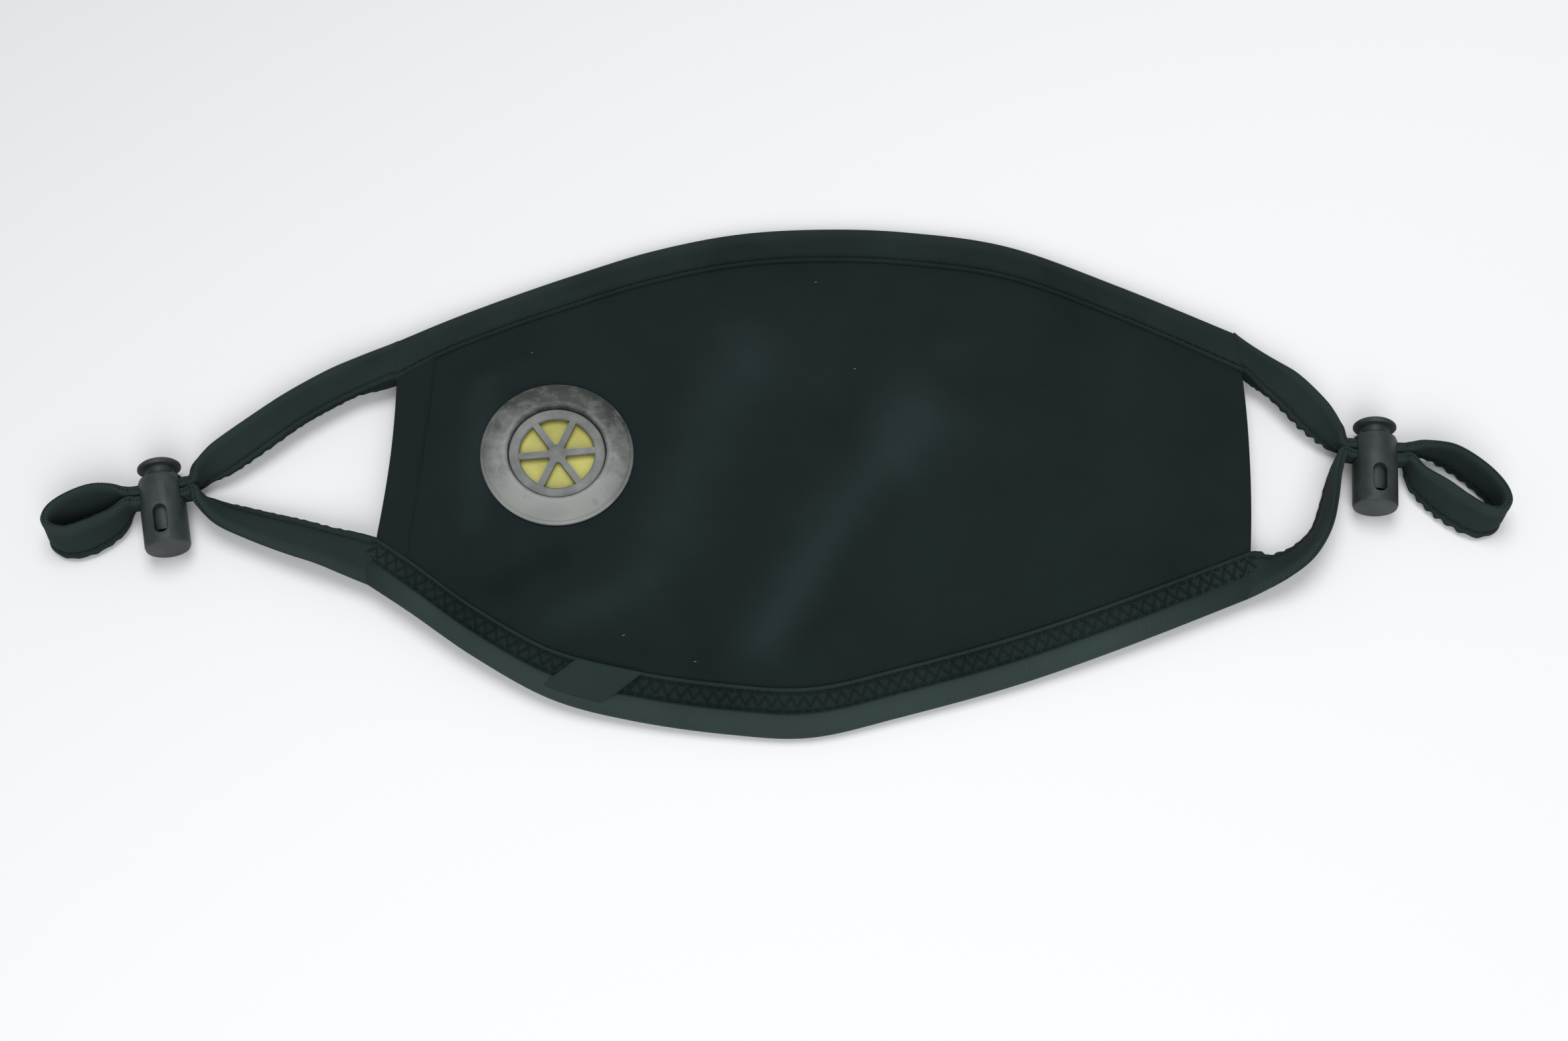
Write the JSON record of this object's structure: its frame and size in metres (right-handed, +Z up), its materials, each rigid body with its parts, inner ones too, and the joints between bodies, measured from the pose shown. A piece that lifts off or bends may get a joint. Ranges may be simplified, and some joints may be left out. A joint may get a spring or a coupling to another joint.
{
  "type": "cloth face mask",
  "caption": "Domed cotton face mask lying face up, with taped edges, a round exhale valve and adjustable ear loops held by press-button cord locks.",
  "frame": {"origin": "middle of the mask's box on the surface it lies on", "axes": "+X from the valve side to the other ear, +Y from the chin edge to the nose edge, +Z up, out of the cloth's outer face"},
  "size_m": [0.3518, 0.1372, 0.016],
  "materials": {
    "cotton": "black cotton jersey, matt",
    "tape": "black knitted edge tape, matt",
    "valve_grey": "grey soft plastic, satin, scuffed",
    "valve_yellow": "yellow silicone, satin",
    "lock_plastic": "dark grey moulded plastic, satin"
  },
  "bodies": {
    "mask": {"panel": "cotton", "binding_top": "tape", "binding_bottom": "tape", "tape_overlap": "tape", "ear_loop_left": "tape", "ear_loop_right": "tape", "valve_flange": "valve_grey", "valve_grille": "valve_grey", "valve_flap": "valve_yellow", "valve_back": "valve_grey", "lock_left_barrel": "lock_plastic", "lock_right_barrel": "lock_plastic"},
    "button_left": {"lock_left_button": "lock_plastic"},
    "button_right": {"lock_right_button": "lock_plastic"}
  },
  "joints": [
    {"name": "button_left_press", "type": "slide", "parent": "mask", "child": "button_left", "axis": [0.2164, -0.9763, 0], "range_m": [0, 0.0019], "stiffness_N_per_m": 500},
    {"name": "button_right_press", "type": "slide", "parent": "mask", "child": "button_right", "axis": [-0.1011, -0.9949, 0], "range_m": [0, 0.0019], "stiffness_N_per_m": 500}
  ]
}
